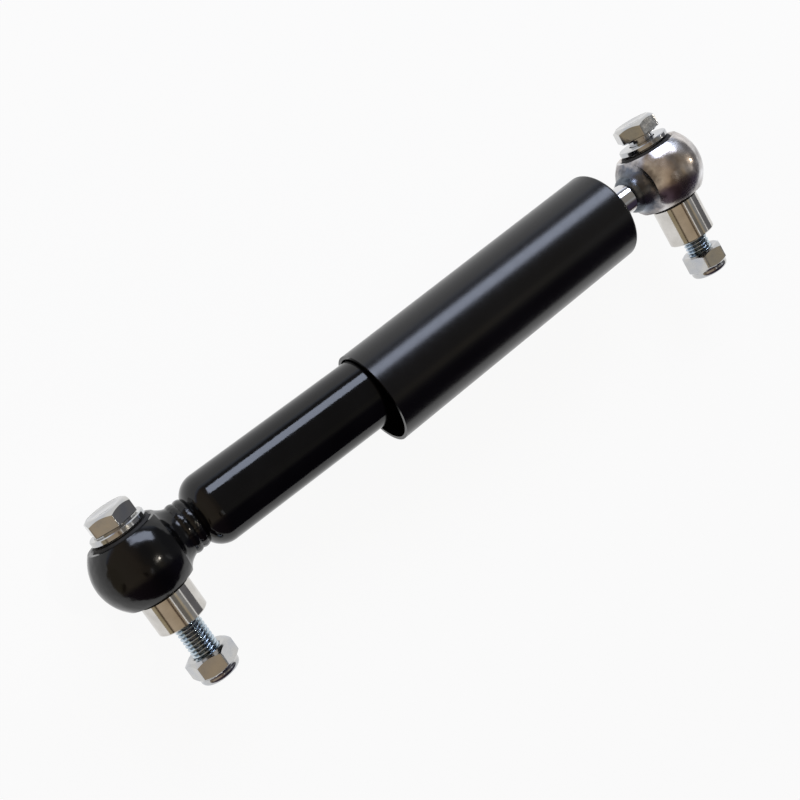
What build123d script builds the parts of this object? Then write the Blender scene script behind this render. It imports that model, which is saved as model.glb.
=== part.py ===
from build123d import *
import os
from math import acos, cos, degrees, radians, sin, sqrt

os.makedirs("parts", exist_ok=True)

# Trailer shock absorber, a twin-tube hydraulic damper lying on its side. Millimetres.
# The origin is the centre of the lower mounting eye. +X runs along the damper to the upper eye,
# +Y runs along the bolts towards their heads, and +Z is up.

# Whole damper, half extended
EYE_TO_EYE = 300.0

# Mounting eyes: forged balls with flat sides
EYE_R = 20.6
EYE_WIDTH = 27.5
EYE_EDGE = 0.8
BUSH_BORE_R = 13.0
LOWER_FLARE_START = 13.5
LOWER_STEM_LENGTH = 19.0
LOWER_STEM_R = 11.0
UPPER_FLARE_START = 15.0
UPPER_STEM_LENGTH = 20.0
UPPER_STEM_R = 9.5
FLARE_SAG = 0.9
SPIGOT_R = 9.0

# Bushes
SLEEVE_R = 9.0
SLEEVE_BORE_R = 6.1
SLEEVE_WIDTH = 30.5
SLEEVE_EDGE = 0.3
BUSH_LIP = 0.6
BUSH_FIT = 0.02

# Weld beads between the eyes and what they carry
LOWER_WELD_LENGTH = 7.0
LOWER_WELD_PASSES = 2
LOWER_WELD_CROWN = 0.6
UPPER_WELD_LENGTH = 3.0
UPPER_WELD_CROWN = 0.4

# Reservoir tube, with a domed closed end and a rolled top lip
BODY_R = 16.0
BODY_WALL = 1.5
DOME_LENGTH = 9.0
DOME_FLAT_R = 10.5
BODY_LIP_R = 12.0
BODY_LIP_THICKNESS = 2.0
SEAT_CLEARANCE = 0.05

# Pressure tube
PRESSURE_BORE_R = 10.0
PRESSURE_WALL = 1.0
PRESSURE_LENGTH = 136.0
SPIGOT_CLEARANCE = 0.02

# Base valve
FOOT_HEIGHT = 4.5
FOOT_WALL = 2.5
FOOT_SLOT = 5.0
VALVE_DISC = 4.0
VALVE_FLANGE = 2.0
VALVE_SPIGOT = 4.0
VALVE_PORTS = 6
VALVE_PORT_R = 1.2
VALVE_PORT_PITCH_R = 6.5
RIVET_R = 2.0
RIVET_HEAD_R = 3.5
RIVET_HEAD = 1.2
RIVET_CROWN_R = 2.4
SHIM_THICKNESS = 0.3
SHIM_CLEARANCE = 0.1
CHECK_DISC = 0.5
CHECK_DISC_R = 8.6
SPRING_THICKNESS = 0.3
CHECK_SPRING_HEIGHT = 1.1
SPRING_FINGERS = 6
SPRING_SLOT = 2.2
SPRING_FINGER_SHARE = 0.7

# Rod guide, seal and cap
GUIDE_SPIGOT = 5.0
GUIDE_FLANGE = 7.0
GUIDE_BUSH_R = 7.2
GUIDE_BUSH_LENGTH = 10.0
O_RING_STEP = 2.0
SEAL_HEIGHT = 6.0
SEAL_BLOCK_R = 10.5
SEAL_WEB = 1.8
SEAL_LIP_WALL = 1.4
SEAL_ROOT_WALL = 2.1
SEAL_LIP_REACH = 3.2
SEAL_LIP_CONTACT = 1.0
SEAL_RELIEF = 0.1
GARTER_R = 0.6
CAP_THICKNESS = 2.0

# Rod and piston
ROD_R = 6.0
ROD_LENGTH = 174.5
ROD_RUNNING_CLEARANCE = 0.03
BOSS_R = 7.2
BOSS_LENGTH = 18.6
ROD_SPIGOT_R = 4.5
SPIGOT_PAST_NUT = 0.5
ROD_EDGE = 0.4
PISTON_NUT_HEIGHT = 5.0
PISTON_NUT_AF = 13.0
REBOUND_SHIM_RADII = (6.4, 7.3, 8.2)
REBOUND_SHIM_THICKNESS = 0.32
PISTON_LENGTH = 10.0
PISTON_LAND_R = 9.7
PISTON_GROOVE_R = 8.65
PISTON_BAND_WIDTH = 6.0
PISTON_PORTS = 6
PISTON_PORT_R = 1.1
PISTON_PORT_PITCH_R = 6.6
INTAKE_PLATE = 0.6
INTAKE_SPRING_HEIGHT = 1.4
STOP_COLLAR_LENGTH = 2.5
STOP_COLLAR_R = 8.6
BUMPER_LENGTH = 5.0
BUMPER_R = 8.8
BUMPER_EDGE = 1.25
BAND_CLEARANCE = 0.05

# Dust cover, loose on the rod and leaning a little
COVER_GAP = 4.5
COVER_WALL = 1.5
COVER_END = 3.0
COVER_LENGTH = 144.0
COVER_HOLE_CLEARANCE = 0.4
COVER_END_CLEARANCE = 0.4
COVER_EDGE = 1.6
COVER_LEAN = 1.5
CLIP_R = 10.0
CLIP_THICKNESS = 2.1

# M12 bolts, washers, collars and locking nuts
BOLT_R = 5.95
BOLT_LENGTH = 75.0
THREAD_LENGTH = 30.0
THREAD_BODY_R = 5.9
BOLT_TIP_CHAMFER = 1.2
HEX_AF = 19.0
HEX_CHAMFER_SLOPE = 0.5
HEAD_HEIGHT = 7.5
HEAD_WASHER_FACE = 0.6
WASHER_R = 12.0
WASHER_HOLE_R = 6.5
WASHER_THICKNESS = 2.5
WASHER_EDGE = 0.4
COLLAR_R = 11.2
COLLAR_BORE_R = 6.15
COLLAR_EDGE = 0.5
LOWER_COLLAR_LENGTH = 14.25
UPPER_COLLAR_LENGTH = 19.35
UPPER_HEAD_GAP = 2.85
NUT_HEIGHT = 12.0
NUT_HEX_HEIGHT = 8.6
NUT_BORE_R = 5.95
NUT_BORE_EDGE = 0.5
NUT_CRIMP_R = 8.9
NUT_CRIMP_ROLL_R = 1.6
NUT_PAST_TIP = 0.25
NUT_LIP = 0.8
NUT_MOUTH_R = 7.0
INSERT_HEIGHT = 2.6
INSERT_R = 7.6
INSERT_CLEARANCE = 0.05
LOWER_HEAD_TURN = 16.0
UPPER_HEAD_TURN = 12.0
LOWER_NUT_TURN = 4.0
UPPER_NUT_TURN = 9.0

# Places along the damper, worked out from the sizes above
BODY_BASE_X = LOWER_STEM_LENGTH + LOWER_WELD_LENGTH
BODY_FLOOR_X = BODY_BASE_X + BODY_WALL
BODY_BORE_R = BODY_R - BODY_WALL
VALVE_DISC_X = BODY_FLOOR_X + FOOT_HEIGHT
VALVE_FLANGE_X = VALVE_DISC_X + VALVE_DISC
PRESSURE_X = VALVE_FLANGE_X + VALVE_FLANGE
VALVE_TOP_X = PRESSURE_X + VALVE_SPIGOT
PRESSURE_R = PRESSURE_BORE_R + PRESSURE_WALL
GUIDE_X = PRESSURE_X + PRESSURE_LENGTH
SEAL_X = GUIDE_X + GUIDE_FLANGE
CAP_X = SEAL_X + SEAL_HEIGHT
LIP_X = CAP_X + CAP_THICKNESS
BODY_TOP_X = LIP_X + BODY_LIP_THICKNESS
SEAT_R = BODY_BORE_R - SEAT_CLEARANCE

ROD_END_X = EYE_TO_EYE - UPPER_STEM_LENGTH
BOSS_X = ROD_END_X - BOSS_LENGTH
ROD_TIP_X = ROD_END_X - ROD_LENGTH
PISTON_NUT_X = ROD_TIP_X + SPIGOT_PAST_NUT
SHIMS_X = PISTON_NUT_X + PISTON_NUT_HEIGHT
PISTON_X = SHIMS_X + len(REBOUND_SHIM_RADII) * REBOUND_SHIM_THICKNESS
INTAKE_PLATE_X = PISTON_X + PISTON_LENGTH
INTAKE_SPRING_X = INTAKE_PLATE_X + INTAKE_PLATE
SHOULDER_X = INTAKE_SPRING_X + INTAKE_SPRING_HEIGHT
BUMPER_X = SHOULDER_X + STOP_COLLAR_LENGTH
PISTON_BAND_X = PISTON_X + (PISTON_LENGTH - PISTON_BAND_WIDTH) / 2
SPIGOT_BORE_R = ROD_SPIGOT_R + SPIGOT_CLEARANCE

COVER_BORE_R = BODY_R + COVER_GAP
COVER_R = COVER_BORE_R + COVER_WALL
COVER_TOP_X = BOSS_X - COVER_END_CLEARANCE
COVER_INNER_X = COVER_TOP_X - COVER_END
COVER_RIM_X = COVER_TOP_X - COVER_LENGTH
COVER_PIVOT_X = COVER_TOP_X - COVER_END / 2
CLIP_X = COVER_INNER_X - COVER_END_CLEARANCE - CLIP_THICKNESS

# Places along the bolts
EYE_FACE_Y = EYE_WIDTH / 2
SLEEVE_END_Y = SLEEVE_WIDTH / 2
WASHER_TOP_Y = SLEEVE_END_Y + WASHER_THICKNESS


def arc_about(centre, radius, start, end):
    """An arc about a centre, between two angles in degrees."""
    angles = (start, (start + end) / 2, end)
    return ThreePointArc(
        *[(centre[0] + radius * cos(radians(a)), centre[1] + radius * sin(radians(a))) for a in angles]
    )


def turned_x(*edges):
    """A solid of revolution about the damper's axis, from edges in (x, radius)."""
    return revolve(make_face(Curve() + list(edges)), Axis.X)


def turned_x_points(*points):
    """A solid of revolution about the damper's axis, from corners given as (x, radius)."""
    return revolve(make_face(Polyline(*points, close=True)), Axis.X)


def ring_x(start, end, bore_r, outer_r):
    """A plain ring about the damper's axis."""
    return turned_x_points((start, bore_r), (end, bore_r), (end, outer_r), (start, outer_r))


def turned_y_points(eye_x, *points):
    """A solid of revolution about a bolt's axis, from corners given as (y, radius)."""
    outline = Polyline(*[(radius, y) for y, radius in points], close=True)
    return Pos(eye_x, 0, 0) * revolve(make_face(outline), Axis.Y)


def turned_y(eye_x, *edges):
    """A solid of revolution about a bolt's axis, from edges in (radius, y)."""
    return Pos(eye_x, 0, 0) * revolve(make_face(Curve() + list(edges)), Axis.Y)


def bevelled_ring_y(eye_x, start, end, bore_r, outer_r, edge):
    """A ring about a bolt's axis with both outer edges bevelled."""
    return turned_y_points(
        eye_x,
        (start, bore_r),
        (start, outer_r - edge),
        (start + edge, outer_r),
        (end - edge, outer_r),
        (end, outer_r - edge),
        (end, bore_r),
    )


def holes_x(start, end, pitch_r, hole_r, count):
    """A ring of round holes that run along the damper's axis."""
    drill = Pos((start + end) / 2, 0, 0) * Rot(Y=90) * Pos(pitch_r, 0, 0) * Cylinder(hole_r, end - start)
    return [Rot(X=360 * i / count) * drill for i in range(count)]


def hexagon_y(eye_x, start, end, turn):
    """A hexagon prism along a bolt's axis. At turn 0 one flat faces straight up."""
    flat = RegularPolygon(HEX_AF / 2, 6, major_radius=False)
    prism = extrude(flat, end - start)
    return Pos(eye_x, start, 0) * Rot(Y=turn) * Rot(X=-90) * prism


def eye_blank(flare_x, stem_length, stem_r):
    """A ball with flat sides, a cross bore and a stem along +X that flares out to the ball."""
    flare_r = sqrt(EYE_R**2 - flare_x**2)
    flare_middle = ((flare_x + stem_length) / 2, (flare_r + stem_r) / 2 - FLARE_SAG)
    ball_and_stem = turned_x(
        arc_about((0, 0), EYE_R, 180, degrees(acos(flare_x / EYE_R))),
        ThreePointArc((flare_x, flare_r), flare_middle, (stem_length, stem_r)),
        Line((stem_length, stem_r), (stem_length, 0)),
        Line((stem_length, 0), (-EYE_R, 0)),
    )
    span = 2 * (EYE_R + stem_length)
    slab = Box(span, EYE_WIDTH, span)
    bore = turned_y_points(
        0,
        (-EYE_FACE_Y, 0),
        (-EYE_FACE_Y, BUSH_BORE_R + EYE_EDGE),
        (EYE_EDGE - EYE_FACE_Y, BUSH_BORE_R),
        (EYE_FACE_Y - EYE_EDGE, BUSH_BORE_R),
        (EYE_FACE_Y, BUSH_BORE_R + EYE_EDGE),
        (EYE_FACE_Y, 0),
    )
    return (ball_and_stem & slab) - bore


def lower_eye():
    """The black forged eye, with a spigot that the tube's weld sits on."""
    spigot = ring_x(LOWER_STEM_LENGTH, BODY_BASE_X, 0, SPIGOT_R)
    return eye_blank(LOWER_FLARE_START, LOWER_STEM_LENGTH, LOWER_STEM_R) + spigot


def upper_eye():
    """The bare forged eye at the rod's end."""
    blank = eye_blank(UPPER_FLARE_START, UPPER_STEM_LENGTH, UPPER_STEM_R)
    return Pos(EYE_TO_EYE, 0, 0) * Rot(Z=180) * blank


def lower_eye_weld():
    """Rings of weld side by side, between the lower eye's stem and the tube's domed end."""
    step_x = LOWER_WELD_LENGTH / LOWER_WELD_PASSES
    step_r = (DOME_FLAT_R - LOWER_STEM_R) / LOWER_WELD_PASSES
    beads = []
    for i in range(LOWER_WELD_PASSES):
        start = (LOWER_STEM_LENGTH + i * step_x, LOWER_STEM_R + i * step_r)
        crown = (start[0] + step_x / 2, start[1] + step_r / 2 + LOWER_WELD_CROWN)
        beads.append(ThreePointArc(start, crown, (start[0] + step_x, start[1] + step_r)))
    return turned_x(
        *beads,
        Line((BODY_BASE_X, DOME_FLAT_R), (BODY_BASE_X, SPIGOT_R)),
        Line((BODY_BASE_X, SPIGOT_R), (LOWER_STEM_LENGTH, SPIGOT_R)),
        Line((LOWER_STEM_LENGTH, SPIGOT_R), (LOWER_STEM_LENGTH, LOWER_STEM_R)),
    )


def upper_eye_weld():
    """The weld ring in the corner between the rod's boss and the upper eye's stem."""
    start_x = ROD_END_X - UPPER_WELD_LENGTH
    middle = ((start_x + ROD_END_X) / 2, (BOSS_R + UPPER_STEM_R) / 2 + UPPER_WELD_CROWN)
    return turned_x(
        ThreePointArc((start_x, BOSS_R), middle, (ROD_END_X, UPPER_STEM_R)),
        Line((ROD_END_X, UPPER_STEM_R), (ROD_END_X, BOSS_R)),
        Line((ROD_END_X, BOSS_R), (start_x, BOSS_R)),
    )


def reservoir_tube():
    """The outer tube: domed closed end, straight wall and a lip rolled in over the seal cap."""
    step = BODY_R - DOME_FLAT_R
    outer_arc_r = (DOME_LENGTH**2 + step**2) / (2 * step)
    inner_arc_r = outer_arc_r - BODY_WALL
    centre = (BODY_BASE_X + DOME_LENGTH, BODY_R - outer_arc_r)
    inner_run = centre[0] - BODY_FLOOR_X
    outer_start = 180 - degrees(acos(DOME_LENGTH / outer_arc_r))
    inner_start = 180 - degrees(acos(inner_run / inner_arc_r))
    inner_flat_r = centre[1] + inner_arc_r * sin(radians(inner_start))
    lip_corner = (BODY_TOP_X - BODY_LIP_THICKNESS, BODY_R - BODY_LIP_THICKNESS)
    return turned_x(
        Line((BODY_BASE_X, 0), (BODY_BASE_X, DOME_FLAT_R)),
        arc_about(centre, outer_arc_r, outer_start, 90),
        Line((centre[0], BODY_R), (lip_corner[0], BODY_R)),
        arc_about(lip_corner, BODY_LIP_THICKNESS, 90, 0),
        Line((BODY_TOP_X, lip_corner[1]), (BODY_TOP_X, BODY_LIP_R)),
        Line((BODY_TOP_X, BODY_LIP_R), (LIP_X, BODY_LIP_R)),
        Line((LIP_X, BODY_LIP_R), (LIP_X, BODY_BORE_R)),
        Line((LIP_X, BODY_BORE_R), (centre[0], BODY_BORE_R)),
        arc_about(centre, inner_arc_r, 90, inner_start),
        Line((BODY_FLOOR_X, inner_flat_r), (BODY_FLOOR_X, 0)),
        Line((BODY_FLOOR_X, 0), (BODY_BASE_X, 0)),
    )


def pressure_tube():
    """The inner tube that the piston runs in."""
    return ring_x(PRESSURE_X, GUIDE_X, PRESSURE_BORE_R, PRESSURE_R)


def base_valve_body():
    """The valve in the foot of the pressure tube, on four legs, with a ring of oil ports."""
    spigot_r = PRESSURE_BORE_R - SPIGOT_CLEARANCE
    body = turned_x_points(
        (BODY_FLOOR_X, spigot_r - FOOT_WALL),
        (VALVE_DISC_X, spigot_r - FOOT_WALL),
        (VALVE_DISC_X, RIVET_R + SPIGOT_CLEARANCE),
        (VALVE_TOP_X, RIVET_R + SPIGOT_CLEARANCE),
        (VALVE_TOP_X, spigot_r),
        (PRESSURE_X, spigot_r),
        (PRESSURE_X, PRESSURE_R),
        (VALVE_FLANGE_X, PRESSURE_R),
        (VALVE_FLANGE_X, spigot_r),
        (BODY_FLOOR_X, spigot_r),
    )
    slot = Pos((BODY_FLOOR_X + VALVE_DISC_X) / 2, 0, 0) * Box(FOOT_HEIGHT, 2 * PRESSURE_R, FOOT_SLOT)
    slots = [slot, Rot(X=90) * slot]
    ports = holes_x(VALVE_DISC_X, VALVE_TOP_X, VALVE_PORT_PITCH_R, VALVE_PORT_R, VALVE_PORTS)
    return body - slots - ports


def base_check_disc():
    """The check valve's thin disc, on top of the base valve."""
    return ring_x(VALVE_TOP_X, VALVE_TOP_X + CHECK_DISC, RIVET_R + SPIGOT_CLEARANCE, CHECK_DISC_R)


def finger_spring(start, height, bore_r, outer_r):
    """A cone-shaped spring washer cut into fingers, with its tips towards -X."""
    cone = turned_x_points(
        (start, outer_r),
        (start + height - SPRING_THICKNESS, bore_r),
        (start + height, bore_r),
        (start + SPRING_THICKNESS, outer_r),
    )
    reach = (outer_r - bore_r) * SPRING_FINGER_SHARE
    slot_r = outer_r - reach / 2 + SPRING_SLOT / 2
    slot = Pos(start + height / 2, slot_r, 0) * Box(2 * height, reach + SPRING_SLOT, SPRING_SLOT)
    return cone - [Rot(X=360 * i / SPRING_FINGERS) * slot for i in range(SPRING_FINGERS)]


def base_check_spring():
    """The finger spring that holds the check disc shut."""
    return finger_spring(
        VALVE_TOP_X + CHECK_DISC, CHECK_SPRING_HEIGHT, RIVET_R + SPIGOT_CLEARANCE, CHECK_DISC_R
    )


def base_valve_shims():
    """The two compression shims under the base valve."""
    bore_r = RIVET_R + SPIGOT_CLEARANCE
    outer_r = PRESSURE_BORE_R - FOOT_WALL - SHIM_CLEARANCE
    wide = ring_x(VALVE_DISC_X - SHIM_THICKNESS, VALVE_DISC_X, bore_r, outer_r)
    narrow = ring_x(
        VALVE_DISC_X - 2 * SHIM_THICKNESS, VALVE_DISC_X - SHIM_THICKNESS, bore_r, (outer_r + RIVET_HEAD_R) / 2
    )
    return Compound(children=[wide, narrow])


def base_valve_rivet():
    """The rivet that clamps the base valve's spring, disc and shims."""
    low_x = VALVE_DISC_X - 2 * SHIM_THICKNESS
    high_x = VALVE_TOP_X + CHECK_DISC + CHECK_SPRING_HEIGHT
    return turned_x_points(
        (low_x - RIVET_HEAD, 0),
        (low_x - RIVET_HEAD, RIVET_CROWN_R),
        (low_x, RIVET_HEAD_R),
        (low_x, RIVET_R),
        (high_x, RIVET_R),
        (high_x, RIVET_HEAD_R),
        (high_x + RIVET_HEAD, RIVET_CROWN_R),
        (high_x + RIVET_HEAD, 0),
    )


def rod_guide():
    """The sintered guide on top of the pressure tube, stepped at its edge for the O-ring."""
    bore_r = GUIDE_BUSH_R + SPIGOT_CLEARANCE
    spigot_r = PRESSURE_BORE_R - SPIGOT_CLEARANCE
    return turned_x_points(
        (GUIDE_X - GUIDE_SPIGOT, bore_r),
        (GUIDE_X - GUIDE_SPIGOT, spigot_r),
        (GUIDE_X, spigot_r),
        (GUIDE_X, SEAT_R),
        (SEAL_X - O_RING_STEP, SEAT_R),
        (SEAL_X - O_RING_STEP, SEAT_R - O_RING_STEP),
        (SEAL_X, SEAT_R - O_RING_STEP),
        (SEAL_X, bore_r),
    )


def rod_guide_bush():
    """The plain bearing bush that the rod slides in."""
    start = (GUIDE_X - GUIDE_SPIGOT + SEAL_X - GUIDE_BUSH_LENGTH) / 2
    return ring_x(start, start + GUIDE_BUSH_LENGTH, ROD_R + ROD_RUNNING_CLEARANCE, GUIDE_BUSH_R)


def guide_o_ring():
    """The static seal in the step at the rod guide's edge."""
    section_r = O_RING_STEP / 2 - SEAT_CLEARANCE
    centre_x = SEAL_X - O_RING_STEP / 2
    centre_r = SEAT_R - O_RING_STEP / 2
    return Pos(centre_x, 0, 0) * Rot(Y=90) * Torus(centre_r, section_r)


def seal_lip_x():
    """Where the rod seal's lip meets the rod."""
    return CAP_X - SEAL_WEB - SEAL_LIP_REACH


def rod_seal():
    """The rubber rod seal: an outer block, a web and a sprung lip on the rod."""
    lip_r = ROD_R + ROD_RUNNING_CLEARANCE
    lip_x = seal_lip_x()
    web_x = CAP_X - SEAL_WEB
    return turned_x_points(
        (SEAL_X, SEAT_R),
        (SEAL_X, SEAL_BLOCK_R),
        (web_x, SEAL_BLOCK_R),
        (web_x, lip_r + SEAL_ROOT_WALL),
        (lip_x, lip_r + SEAL_LIP_WALL),
        (lip_x, lip_r),
        (lip_x + SEAL_LIP_CONTACT, lip_r),
        (web_x, lip_r + SEAL_RELIEF),
        (CAP_X, lip_r),
        (CAP_X, SEAT_R),
    )


def seal_garter_spring():
    """The garter spring around the rod seal's lip."""
    lip_r = ROD_R + ROD_RUNNING_CLEARANCE
    centre_x = seal_lip_x() + SEAL_LIP_CONTACT
    slope = (SEAL_ROOT_WALL - SEAL_LIP_WALL) / SEAL_LIP_REACH
    centre_r = lip_r + SEAL_LIP_WALL + slope * SEAL_LIP_CONTACT + GARTER_R + SEAT_CLEARANCE
    return Pos(centre_x, 0, 0) * Rot(Y=90) * Torus(centre_r, GARTER_R)


def seal_cap():
    """The steel cap over the seal, held by the tube's rolled lip."""
    return ring_x(CAP_X, LIP_X, ROD_R + COVER_HOLE_CLEARANCE, SEAT_R)


def bush_rubber(eye_x):
    """A rubber bush, proud of its eye at both ends."""
    end_y = EYE_FACE_Y + BUSH_LIP
    return turned_y_points(
        eye_x,
        (-end_y, SLEEVE_R),
        (-end_y, BUSH_BORE_R - BUSH_LIP),
        (EYE_EDGE - EYE_FACE_Y, BUSH_BORE_R - BUSH_FIT),
        (EYE_FACE_Y - EYE_EDGE, BUSH_BORE_R - BUSH_FIT),
        (end_y, BUSH_BORE_R - BUSH_LIP),
        (end_y, SLEEVE_R),
    )


def bush_sleeve(eye_x):
    """The steel sleeve inside a rubber bush."""
    return bevelled_ring_y(
        eye_x, -SLEEVE_END_Y, SLEEVE_END_Y, SLEEVE_BORE_R, SLEEVE_R - BUSH_FIT, SLEEVE_EDGE
    )


def piston_rod():
    """The rod, with a reduced end for the piston and a thicker boss at the eye."""
    return turned_x_points(
        (ROD_TIP_X, 0),
        (ROD_TIP_X, ROD_SPIGOT_R - ROD_EDGE),
        (ROD_TIP_X + ROD_EDGE, ROD_SPIGOT_R),
        (SHOULDER_X, ROD_SPIGOT_R),
        (SHOULDER_X, ROD_R),
        (BOSS_X, ROD_R),
        (BOSS_X, BOSS_R - ROD_EDGE),
        (BOSS_X + ROD_EDGE, BOSS_R),
        (ROD_END_X, BOSS_R),
        (ROD_END_X, 0),
    )


def piston():
    """The piston, with a groove for its band and a ring of oil ports."""
    band_end_x = PISTON_BAND_X + PISTON_BAND_WIDTH
    body = turned_x_points(
        (PISTON_X, SPIGOT_BORE_R),
        (PISTON_X, PISTON_LAND_R),
        (PISTON_BAND_X - BAND_CLEARANCE, PISTON_LAND_R),
        (PISTON_BAND_X - BAND_CLEARANCE, PISTON_GROOVE_R),
        (band_end_x + BAND_CLEARANCE, PISTON_GROOVE_R),
        (band_end_x + BAND_CLEARANCE, PISTON_LAND_R),
        (INTAKE_PLATE_X, PISTON_LAND_R),
        (INTAKE_PLATE_X, SPIGOT_BORE_R),
    )
    return body - holes_x(PISTON_X, INTAKE_PLATE_X, PISTON_PORT_PITCH_R, PISTON_PORT_R, PISTON_PORTS)


def piston_band():
    """The low-friction band in the piston's groove, running on the pressure tube's wall."""
    return ring_x(
        PISTON_BAND_X,
        PISTON_BAND_X + PISTON_BAND_WIDTH,
        PISTON_GROOVE_R + BAND_CLEARANCE,
        PRESSURE_BORE_R - ROD_RUNNING_CLEARANCE,
    )


def rebound_shims():
    """The stack of thin shims under the piston, each wider than the one below it."""
    shims = []
    for i, outer_r in enumerate(REBOUND_SHIM_RADII):
        start = SHIMS_X + i * REBOUND_SHIM_THICKNESS
        shims.append(ring_x(start, start + REBOUND_SHIM_THICKNESS, SPIGOT_BORE_R, outer_r))
    return Compound(children=shims)


def piston_nut():
    """The nut that clamps the piston stack to the rod."""
    flat = RegularPolygon(PISTON_NUT_AF / 2, 6, major_radius=False)
    prism = Pos(PISTON_NUT_X, 0, 0) * Rot(Y=90) * extrude(flat, PISTON_NUT_HEIGHT)
    return prism - ring_x(PISTON_NUT_X, SHIMS_X, 0, SPIGOT_BORE_R)


def intake_valve_plate():
    """The intake plate on top of the piston."""
    return ring_x(INTAKE_PLATE_X, INTAKE_SPRING_X, SPIGOT_BORE_R, CHECK_DISC_R)


def intake_spring():
    """The finger spring between the intake plate and the rod's shoulder."""
    return finger_spring(INTAKE_SPRING_X, INTAKE_SPRING_HEIGHT, SPIGOT_BORE_R, CHECK_DISC_R)


def rebound_stop_collar():
    """The collar fixed on the rod above the piston."""
    return ring_x(SHOULDER_X, BUMPER_X, ROD_R + SPIGOT_CLEARANCE, STOP_COLLAR_R)


def rebound_bumper():
    """The rubber ring that meets the rod guide at full reach."""
    end_x = BUMPER_X + BUMPER_LENGTH
    return turned_x_points(
        (BUMPER_X, ROD_R + SPIGOT_CLEARANCE),
        (BUMPER_X, BUMPER_R - BUMPER_EDGE),
        (BUMPER_X + BUMPER_EDGE, BUMPER_R),
        (end_x - BUMPER_EDGE, BUMPER_R),
        (end_x, BUMPER_R - BUMPER_EDGE),
        (end_x, ROD_R + SPIGOT_CLEARANCE),
    )


def cover_clip():
    """The ring on the rod that keeps the dust cover at the boss."""
    return ring_x(CLIP_X, CLIP_X + CLIP_THICKNESS, ROD_R + SPIGOT_CLEARANCE, CLIP_R)


def dust_cover():
    """The thin cover over the tube, open at its rim and leaning about its end wall."""
    corner = (COVER_TOP_X - COVER_EDGE, COVER_R - COVER_EDGE)
    hole_r = ROD_R + COVER_HOLE_CLEARANCE
    shell = turned_x(
        Line((COVER_RIM_X, COVER_BORE_R), (COVER_RIM_X, COVER_R)),
        Line((COVER_RIM_X, COVER_R), (corner[0], COVER_R)),
        arc_about(corner, COVER_EDGE, 90, 0),
        Line((COVER_TOP_X, corner[1]), (COVER_TOP_X, hole_r)),
        Line((COVER_TOP_X, hole_r), (COVER_INNER_X, hole_r)),
        Line((COVER_INNER_X, hole_r), (COVER_INNER_X, COVER_BORE_R)),
        Line((COVER_INNER_X, COVER_BORE_R), (COVER_RIM_X, COVER_BORE_R)),
    )
    return shell.rotate(Axis((COVER_PIVOT_X, 0, 0), (0, 0, 1)), COVER_LEAN)


def washer(eye_x):
    """A flat washer on a sleeve's head end."""
    return bevelled_ring_y(eye_x, SLEEVE_END_Y, WASHER_TOP_Y, WASHER_HOLE_R, WASHER_R, WASHER_EDGE)


def collar(eye_x, length):
    """The spacer collar between a sleeve's nut end and the bracket."""
    return bevelled_ring_y(
        eye_x, -SLEEVE_END_Y - length, -SLEEVE_END_Y, COLLAR_BORE_R, COLLAR_R, COLLAR_EDGE
    )


def bevelled_hexagon_y(eye_x, start, end, turn, start_bevel, end_bevel):
    """A hexagon with its corners turned down to a round face at either end."""
    corner_r = HEX_AF / sqrt(3)
    flat_r = HEX_AF / 2
    drop = (corner_r - flat_r) * HEX_CHAMFER_SLOPE
    cone = turned_y_points(
        eye_x,
        (start, 0),
        (start, flat_r if start_bevel else corner_r),
        (start + drop, corner_r),
        (end - drop, corner_r),
        (end, flat_r if end_bevel else corner_r),
        (end, 0),
    )
    return hexagon_y(eye_x, start, end, turn) & cone


def bolt(eye_x, seat_y, turn):
    """An M12 hexagon bolt. The thread is the plain stretch a little thinner than the shank."""
    tip_y = seat_y - BOLT_LENGTH
    thread_y = tip_y + THREAD_LENGTH
    face_r = HEX_AF / 2 - HEAD_WASHER_FACE
    head = bevelled_hexagon_y(eye_x, seat_y + HEAD_WASHER_FACE, seat_y + HEAD_HEIGHT, turn, False, True)
    shank = turned_y_points(
        eye_x,
        (tip_y, 0),
        (tip_y, THREAD_BODY_R - BOLT_TIP_CHAMFER),
        (tip_y + BOLT_TIP_CHAMFER, THREAD_BODY_R),
        (thread_y, THREAD_BODY_R),
        (thread_y, BOLT_R),
        (seat_y, BOLT_R),
        (seat_y, face_r),
        (seat_y + 2 * HEAD_WASHER_FACE, face_r),
        (seat_y + 2 * HEAD_WASHER_FACE, 0),
    )
    return head + shank


def nut_far_y(seat_y):
    """The crimped end of a nut, just past its bolt's tip."""
    return seat_y - BOLT_LENGTH - NUT_PAST_TIP


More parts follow.
